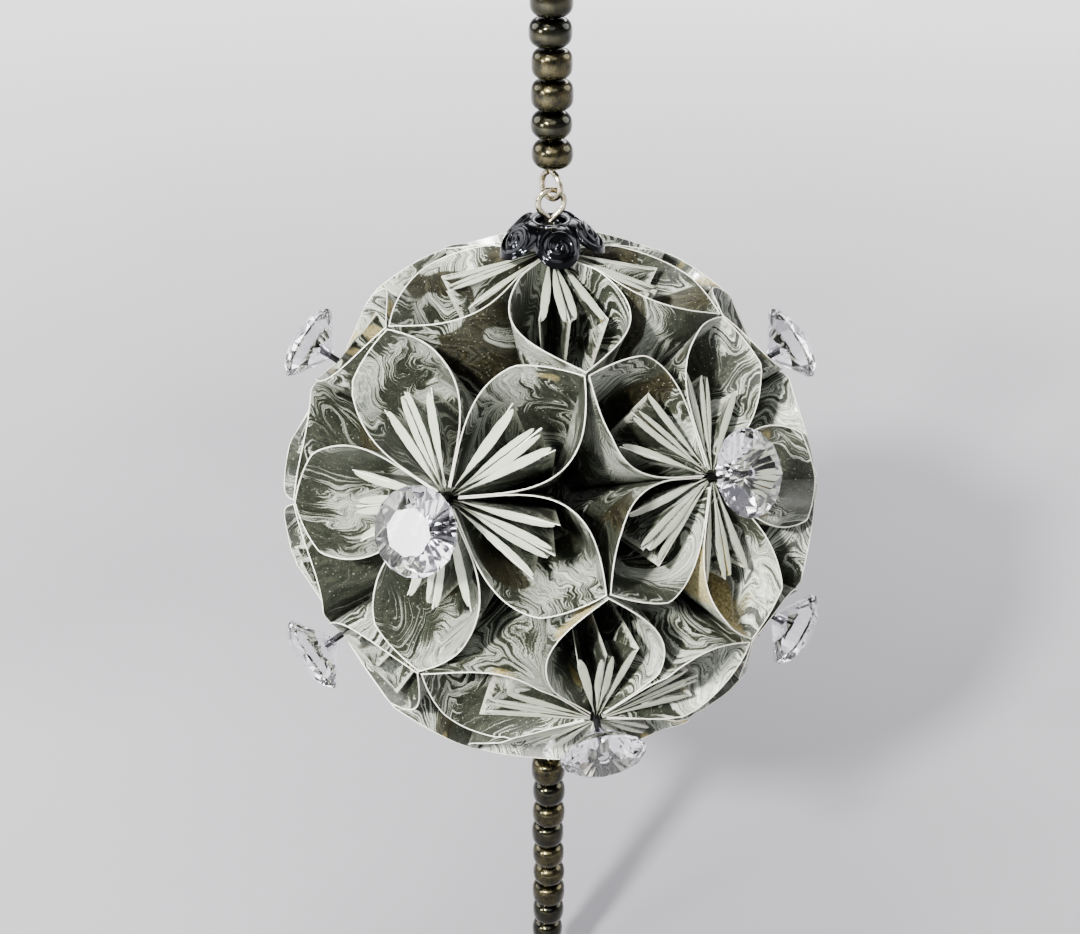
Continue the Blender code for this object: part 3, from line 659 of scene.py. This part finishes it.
def add_flap(sheets, turn, angle, half, seat, end, length, offset):
    """A flap: a flat sheet from the hub to its fold, whose top edge falls from the seat to its end."""
    side = polar(1, angle + math.pi / 2)
    steps = FLAP_COLUMNS - 1
    middle = half == PAPER
    if middle:
        seat -= MIDDLE_FLAP_SUNK
        end -= MIDDLE_FLAP_SUNK

    def top_at(across):
        return seat + (end - seat) * across / length

    for way in (-1, 1):
        rows, uvs, wear = [], [], []
        for level in FLAP_LEVELS:
            row, row_uv, row_wear = [], [], []
            for i in range(FLAP_COLUMNS):
                at_fold = i == steps
                across = FLAP_NEAR + (max(length * level, FLAP_NEAR) - FLAP_NEAR) * i / steps
                height = top_at(across / level if across < length * level else length) * level
                inset = half * FLAP_EDGE if at_fold or level == 1.0 else half
                row.append(turn @ (polar(across, angle, height) + side * way * inset))
                sheet_angle = math.atan2(across, height) + angle * 2 + way * 0.8 + 1.4
                row_uv.append(on_sheet(offset, math.hypot(across, height) / MM, sheet_angle))
                row_wear.append(1.0 if at_fold else (0.35 if i == steps - 1 else 0.0))
            rows.append(row)
            uvs.append(row_uv)
            wear.append(row_wear)
        sheets.grid(rows, uvs, wear, lambda i, j: PRINTED)

    along_top = [FLAP_NEAR + (length - FLAP_NEAR) * i / steps for i in range(FLAP_COLUMNS)]
    rim = [polar(across, angle, top_at(across)) for across in along_top]
    rim += [polar(length * level, angle, end * level) for level in reversed(FLAP_LEVELS[:4])]
    rows = [[turn @ (point + side * way * half * FLAP_EDGE) for point in rim] for way in (-1, 1)]
    uvs = [[(offset[0] + i, offset[1] + way) for i in range(len(rim))] for way in (-1, 1)]
    wear = [[1.0] * len(rim)] * 2
    sheets.grid(rows, uvs, wear, lambda i, j: CUT_EDGE if i < steps and not middle else PRINTED)


def add_point(sheets, offset):
    """The flower's point near the ball's centre, where the sheets' folded corners crowd together."""
    around = 5 * POINT_STEPS + 1
    rows, uvs = [], []
    for level in POINT_LEVELS:
        row = []
        for i in range(around):
            corner, along = divmod(i, POINT_STEPS)
            ends = [direction(polar(TIP_ANGLE, (corner + k) * STEP)) for k in (0, 1)]
            ray = (ends[0] * (1 - along / POINT_STEPS) + ends[1] * along / POINT_STEPS).normalized()
            ripple = 1 + 0.05 * math.sin(i * 2.4) if level == 1.0 else 1
            row.append(ray * POINT_REACH * level * ripple + Vector((0, 0, POINT_LIFT)))
        rows.append(row)
        uvs.append([(offset[0] + i * 0.8, offset[1] + 8 * level) for i in range(around)])
    rows.append([Vector((0, 0, POINT_REACH * 0.6))] * around)
    uvs.append([offset] * around)
    sheets.grid(rows, uvs, [[0.0] * around for _ in rows], lambda i, j: PRINTED)


def add_blade(sheets, turn, angle, half, way, seat, end, length, offset):
    """The top of a folded flap: a narrow leaf of the sheet's back, and the faces that close below it."""
    out = polar(1, angle + way * math.pi / 2)
    size = dice.uniform(*BLADE_SIZES)
    inner, outer = MIDDLE_BLADE if half == PAPER else SIDE_BLADE
    length = length * dice.uniform(*BLADE_LENGTHS)
    tilt = dice.uniform(*BLADE_TILTS)
    fullest = BLADE_FULLEST + dice.uniform(*BLADE_SHIFTS)
    lean = dice.uniform(*BLADE_LEANS)
    rag = [[dice.uniform(*BLADE_RAGS) for _ in range(BLADE_COLUMNS + 1)] for _ in range(2)]
    columns = []
    for i in range(BLADE_COLUMNS + 1):
        t = 1 - (1 - i / BLADE_COLUMNS) ** 1.7
        reach = BLADE_NEAR + (length - BLADE_NEAR) * t
        opening = math.sin(math.pi / 2 * min(t / fullest, 1)) ** 1.8
        rounding = math.sqrt(max(1 - (max(t - fullest, 0) / (1 - fullest)) ** 2.8, 0.0006))
        axis = (inner + outer) / 2 * opening * size + lean * t * t
        wide = (outer - inner) / 2 * opening * size * rounding
        fade = min(1, 3 * opening * rounding) * MM
        near = axis - wide + rag[0][i] * fade
        far = axis + wide + rag[1][i] * fade
        if near > far:
            near = far = (near + far) / 2
        centre = (near + far) / 2
        keel = centre * 0.25
        top = seat + (end - seat) * t + tilt * t + BLADE_RAISED
        below = top - BLADE_PAPER
        depth = max(FLAP_LENGTH * (1 - t), BLADE_LEAST_DEPTH)
        section = (
            (keel, below - depth),
            (near * 0.5 + keel * 0.5, below - depth * 0.3),
            (near, below),
            (near + 0.03 * fade, top),
            (centre, top + BLADE_DOME * rounding),
            (far - 0.03 * fade, top - 0.05 * fade),
            (far, below),
            (far * 0.45 + keel * 0.55, below - depth * 0.3),
            (keel, below - depth),
        )
        columns.append([turn @ (polar(reach, angle, height) + out * across) for across, height in section])
    rows = list(zip(*columns))
    along = range(len(columns))
    uvs = [[(offset[0] + i * 0.6, offset[1] + 1.9 * j) for i in along] for j in range(len(rows))]
    wear = [[0.0] * len(columns) for _ in rows]
    leaf = (3, 4)
    sheets.grid(rows, uvs, wear, lambda i, j: BACK if j in leaf else PRINTED)


def facing_matrix(outward, petal_towards):
    """Turns a flower's axis outward and its first petal towards the given side."""
    z = outward.normalized()
    x = (petal_towards - z * petal_towards.dot(z)).normalized()
    return Matrix((x, z.cross(x), z)).transposed().to_4x4()


def ring_direction(angle_from_pole, azimuth):
    """A direction from the ball's centre, with the azimuth measured from the camera's side."""
    across = math.sin(angle_from_pole)
    return Vector((across * math.sin(azimuth), -across * math.cos(azimuth), math.cos(angle_from_pole)))


def flower_places():
    """Each flower's name, the way it faces and its seam: an icosahedron's twelve corners."""
    up = Vector((0, 0, 1))
    front_petal = ring_direction(math.pi / 2, TURN)
    places = [("top", facing_matrix(up, front_petal), SEAM + TOP_PULLED_OUT)]
    for i in range(5):
        outward = ring_direction(RING_ANGLE, TURN + (i - 0.5) * STEP)
        seat = SEAM - FRONT_PUSHED_IN if i < 2 else SEAM
        places.append((f"upper_{i + 1}", facing_matrix(outward, -up), seat))
    for i in range(5):
        outward = ring_direction(math.pi - RING_ANGLE, TURN + i * STEP)
        places.append((f"lower_{i + 1}", facing_matrix(outward, up), SEAM))
    bottom_petal = ring_direction(math.pi / 2, TURN + 0.5 * STEP)
    places.append(("bottom", facing_matrix(-up, bottom_petal), SEAM))
    return places


def hand_turn(point):
    """How far the layout has turned about the strand here: not at all in front, and most at the back."""
    azimuth = math.atan2(point.x, -point.y)
    return Matrix.Rotation(-BACK_TURN * (1 - math.cos(azimuth - TURN)) / 2, 4, "Z")


def print_offset():
    return (dice.uniform(*PRINT_OFFSETS), dice.uniform(*PRINT_OFFSETS))


def add_folded_sheet(sheets, turn, seat):
    """One folded sheet: its petal, and the flaps inside it by threes, the middle one double."""
    offset = print_offset()
    add_petal(sheets, turn, seat, offset)
    end = min(seat, SEAM) - FLAP_DROOP
    swing = dice.uniform(*FLAP_SWINGS)
    spread = dice.uniform(*FLAP_SPREADS)
    for place, half, ways in ((-1, PAPER / 2, (1,)), (0, PAPER, (-1, 1)), (1, PAPER / 2, (-1,))):
        angle = FLAP_ANGLE * place * spread + swing + dice.uniform(*FLAP_TURNS)
        length = FLAP_LENGTH * dice.uniform(*FLAP_LENGTHS)
        outer = end + dice.uniform(*FLAP_DROOPS)
        add_flap(sheets, turn, angle, half, seat - FLAP_SUNK, outer - FLAP_SUNK, length, offset)
        for way in ways:
            add_blade(sheets, turn, angle, half, way, seat, outer, length, offset)


def make_flowers():
    for name, matrix, seat in flower_places():
        sheets = Sheets()
        for number in range(5):
            sheets.stain = STAINS.get((name, number), 0.0)
            add_folded_sheet(sheets, Matrix.Rotation(number * STEP, 4, "Z"), seat)
        sheets.stain = 0.0
        add_point(sheets, print_offset())
        placed = [matrix @ Vector(point) for point in sheets.points]
        sheets.points = [hand_turn(point) @ point for point in placed]
        obj = sheets.finished("paper_" + name, (MARBLED, EDGE, IVORY), Matrix.Translation(CENTRE))
        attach(obj, "ball")
        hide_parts("flower_" + name)


def off_axis(angle):
    """The angle from the middle of the nearest of the cap's five petals."""
    return (angle + STEP / 2) % STEP - STEP / 2


def cap_edge(local):
    """How far out the cap's scalloped edge lies."""
    off = off_axis(local)
    across = CAP_PETAL_CENTRE * math.sin(off)
    return CAP_PETAL_CENTRE * math.cos(off) + math.sqrt(CAP_PETAL_RADIUS**2 - across**2)


def cap_height(distance, local):
    """The cap's top: it falls outwards, with a dome, a raised rim and a raised spiral on each petal."""
    off = off_axis(local)
    reach = CAP_PETAL_CENTRE + CAP_PETAL_RADIUS
    run = min(max((distance - CAP_RING_RADIUS) / (reach - CAP_RING_RADIUS), 0), 1)
    along, across = distance * math.cos(off), distance * math.sin(off)
    from_petal = min(math.hypot(along - CAP_PETAL_CENTRE, across) / CAP_PETAL_RADIUS, 1)
    plain = CAP_HEIGHT * (1 - run**1.4) + CAP_BULGE * (1 - from_petal**2)
    seen = plain * math.cos(CAP_FACING) - along * math.sin(CAP_FACING) + CAP_SPIRAL_DROP
    from_middle = math.hypot(seen, across) / CAP_PETAL_RADIUS
    spiral = (from_middle * SPIRAL_TURNS + math.atan2(seen, across) / math.tau) % 1.0
    ridge = max(0.0, 1 - abs(spiral - 0.5) / SPIRAL_WIDTH) if from_middle < SPIRAL_REACH else 0.0
    rim = max(0.0, 1 - abs(from_petal - RIM_PLACE) / RIM_WIDTH)
    return plain + SPIRAL_RELIEF * math.sqrt(ridge * (2 - ridge)) + RIM_RELIEF * rim


def cap_row(first, inset, share):
    """A row round the cap, this share of the way from `first` to its edge, `inset` below its top."""
    row = []
    for i in range(CAP_SIDES):
        local = math.tau * i / CAP_SIDES
        reach = first + (cap_edge(local) - inset - first) * share
        row.append((reach, cap_height(reach, local) - inset))
    return row


def make_cap():
    """The bead cap with round domed petals, a raised ring and a raised spiral on each petal."""
    ring = CAP_RING_RADIUS - CAP_WALL + RING_WIDTH / 2
    bore = [*CAP_BORE, (ring - RING_WIDTH, -RING_WIDTH)]
    for k in range(CAP_RING_STEPS + 1):
        a = math.pi * k / CAP_RING_STEPS
        bore.append((ring - RING_WIDTH * math.cos(a), RING_LIFT + RING_ROUND * math.sin(a)))
    rows = [[(reach, CAP_HEIGHT + rise)] * CAP_SIDES for reach, rise in bore]
    rows += [cap_row(CAP_RING_RADIUS, 0.0, k / CAP_STEPS) for k in range(CAP_STEPS + 1)]
    rows += [cap_row(CAP_RING_RADIUS - CAP_WALL / 2, CAP_WALL, share) for share in (1.0, 0.6, 0.2)]
    first = TURN - math.pi / 2
    angles = [first + math.tau * i / CAP_SIDES for i in range(CAP_SIDES)]
    rows = [[polar(r, a, CAP_BASE + z) for (r, z), a in zip(row, angles)] for row in rows]
    sheets = Sheets()
    sheets.plain_grid([row + row[:1] for row in rows])
    obj = sheets.finished("black_cap", (CAP,), Matrix.Translation(CENTRE), smooth=85)
    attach(obj, "ball")
    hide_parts("bead_cap")


def loop_points(centre, turn, up=1, bend_share=LOOP_BEND):
    """A wire eye, from its neck round and back. Its neck is below it where up is 1."""
    bend = Vector((0, 0, centre - up * LOOP_RADIUS * bend_share))
    points = [bend - Vector((0, 0, up * NECK_LENGTH)), bend]
    for i in range(LOOP_STEPS + 1):
        angle = LOOP_START + (LOOP_END - LOOP_START) * i / LOOP_STEPS
        height = centre + up * LOOP_RADIUS * math.sin(angle)
        points.append(polar(LOOP_RADIUS * math.cos(angle), turn, height))
    closing = 1 - WIRE / LOOP_RADIUS
    points.append(points[-1].lerp(bend, closing))
    return points


def make_wire(name, points, body, node):
    curve = bpy.data.curves.new(name, "CURVE")
    curve.dimensions = "3D"
    curve.bevel_depth = WIRE / 2
    curve.bevel_resolution = 5
    curve.use_fill_caps = True
    spline = curve.splines.new("POLY")
    spline.points.add(len(points) - 1)
    for target, point in zip(spline.points, points):
        target.co = (*(point + CENTRE), 1.0)
    curve.materials.append(GOLD_WIRE)
    obj = new_object(name, curve)
    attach(obj, body)
    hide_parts(node)


def make_wires():
    """The two eye pins in the ball, and the strands' wires with an eye at each end."""
    inner_end = Vector((0, 0, EYE_PIN_DEPTH))
    top = [inner_end] + loop_points(TOP_LOOP_HEIGHT, BALL_EYE_TURN, 1, TOP_EYE_BEND)
    make_wire("eye_top", top, "ball", "eye_pin_top")
    bottom = [-inner_end] + loop_points(-BOTTOM_LOOP_HEIGHT, BALL_EYE_TURN, -1)
    make_wire("eye_bottom", bottom, "ball", "eye_pin_bottom")
    linked = TOP_LOOP_HEIGHT + LINK_STEP
    below = list(reversed(loop_points(linked, STRAND_EYE_TURN, -1)))
    hanging = -CENTRE.z - HIGHEST_EYE_SUNK
    make_wire("strand_wire_upper", below + loop_points(hanging, 0.0), "upper_strand", "upper_wire")
    linked = -BOTTOM_LOOP_HEIGHT - LINK_STEP
    above = list(reversed(loop_points(linked, STRAND_EYE_TURN)))
    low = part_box("lower_wire")[0][2] - CENTRE.z
    last = low + LOOP_REACH
    make_wire("strand_wire_lower", above + loop_points(last, 0.0, -1), "lower_strand", "lower_wire")


def bead_section(radius, half, bulge):
    """Distances from the bead's axis, with heights, down its round outside and up through its bore."""
    bore = BEAD_BORE / 2
    section = []
    for k in range(BEAD_STEPS + 1):
        a = math.pi * k / BEAD_STEPS
        flat = math.copysign(abs(math.cos(a)) ** (2 / bulge), math.cos(a))
        section.append((bore + (radius - bore) * abs(math.sin(a)) ** (2 / bulge), half * flat))
    section += [(bore, half * share) for share in (-0.6, 0.0, 0.6)]
    return section + section[:1]


def make_beads():
    """Smooth rounded beads in the places of the solids, each a little different."""
    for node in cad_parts:
        if "_bead_" not in node:
            continue
        low, high = (Vector(corner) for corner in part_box(node))
        middle = (low + high) / 2 + polar(dice.uniform(*BEAD_PLAY), dice.uniform(0, math.tau))
        radius = BEAD_RADIUS * dice.uniform(*BEAD_SIZES)
        half = (high.z - low.z) / 2 + BEAD_GROWTH
        section = bead_section(radius, half, dice.uniform(*BEAD_BULGES))
        angles = [math.tau * i / BEAD_SIDES for i in range(BEAD_SIDES + 1)]
        sheets = Sheets()
        sheets.plain_grid([[middle + polar(out, a, height) for a in angles] for out, height in section])
        finish = DARK_BRONZE if dice.random() < DARK_BEADS else BRONZE
        obj = sheets.finished("glass_" + node, (finish,), Matrix.Identity(4), smooth=60)
        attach(obj, "upper_strand" if node.startswith("upper") else "lower_strand")
        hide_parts(node)


def dress_solids():
    """The stones and pins keep their solids and get better materials."""
    for node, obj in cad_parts.items():
        if node.startswith("stone_"):
            obj.data.materials.clear()
            obj.data.materials.append(STONE)
            obj.data.shade_flat()
        elif node.startswith("pin_"):
            obj.data.materials.clear()
            obj.data.materials.append(PIN)


# The studio


def make_camera():
    look = Vector((0, math.cos(CAMERA_ELEVATION), -math.sin(CAMERA_ELEVATION)))
    camera = bpy.data.cameras.new("camera")
    camera.sensor_width = CAMERA_SENSOR
    camera.lens = CAMERA_LENS
    camera.clip_start = 0.01
    camera.clip_end = 20
    obj = new_object("camera", camera)
    obj.location = CENTRE + CAMERA_AIM - look * CAMERA_DISTANCE
    obj.rotation_mode = "QUATERNION"
    obj.rotation_quaternion = look.to_track_quat("-Z", "Y")
    bpy.context.scene.camera = obj


def make_floor():
    """A disc below the strand, flat in the middle, whose rim rises so that no edge shows."""
    depth = cad_box[0].z - FLOOR_DROP
    points = [Vector((0, 0, depth))]
    for ring in range(FLOOR_RINGS):
        share = ring / (FLOOR_RINGS - 1)
        away = FLOOR_FLAT + (FLOOR_REACH - FLOOR_FLAT) * share
        height = depth + FLOOR_RISE * share**2
        points += [polar(away, math.tau * i / FLOOR_SIDES, height) for i in range(FLOOR_SIDES)]
    faces = [(0, i + 1, (i + 1) % FLOOR_SIDES + 1) for i in range(FLOOR_SIDES)]
    for ring in range(FLOOR_RINGS - 1):
        start = 1 + ring * FLOOR_SIDES
        for i in range(FLOOR_SIDES):
            a, b = start + i, start + (i + 1) % FLOOR_SIDES
            faces.append((a, a + FLOOR_SIDES, b + FLOOR_SIDES, b))
    mesh = bpy.data.meshes.new("floor")
    mesh.from_pydata(points, [], faces)
    mesh.shade_smooth()
    mesh.materials.append(pale_floor())
    floor = new_object("floor", mesh)


def add_light(name, kind, energy, colour):
    light = bpy.data.lights.new(name, kind)
    light.energy = energy
    light.color = colour
    return new_object(name, light)


def make_lights():
    """Round lamps about the ball, two wide even lights from above, and a pale room."""
    for name, side, height, distance, radius, power, colour in LAMPS:
        side, height = math.radians(side), math.radians(height)
        obj = add_light(name, "POINT", power, colour)
        obj.data.shadow_soft_size = radius
        obj.location = CENTRE + ring_direction(math.pi / 2 - height, side) * distance
    for name, side, height, strength in SUNS:
        obj = add_light(name, "SUN", strength, (1.0, 1.0, 1.0))
        obj.data.angle = SUN_SPREAD
        obj.rotation_euler = (math.radians(90 - height), 0, math.radians(side))
    world = bpy.data.worlds.new("studio")
    world.use_nodes = True
    background = world.node_tree.nodes["Background"]
    background.inputs["Color"].default_value = ROOM_COLOUR
    background.inputs["Strength"].default_value = ROOM_STRENGTH
    bpy.context.scene.world = world


make_camera()
make_floor()
make_lights()
make_flowers()
make_cap()
make_wires()
make_beads()
dress_solids()
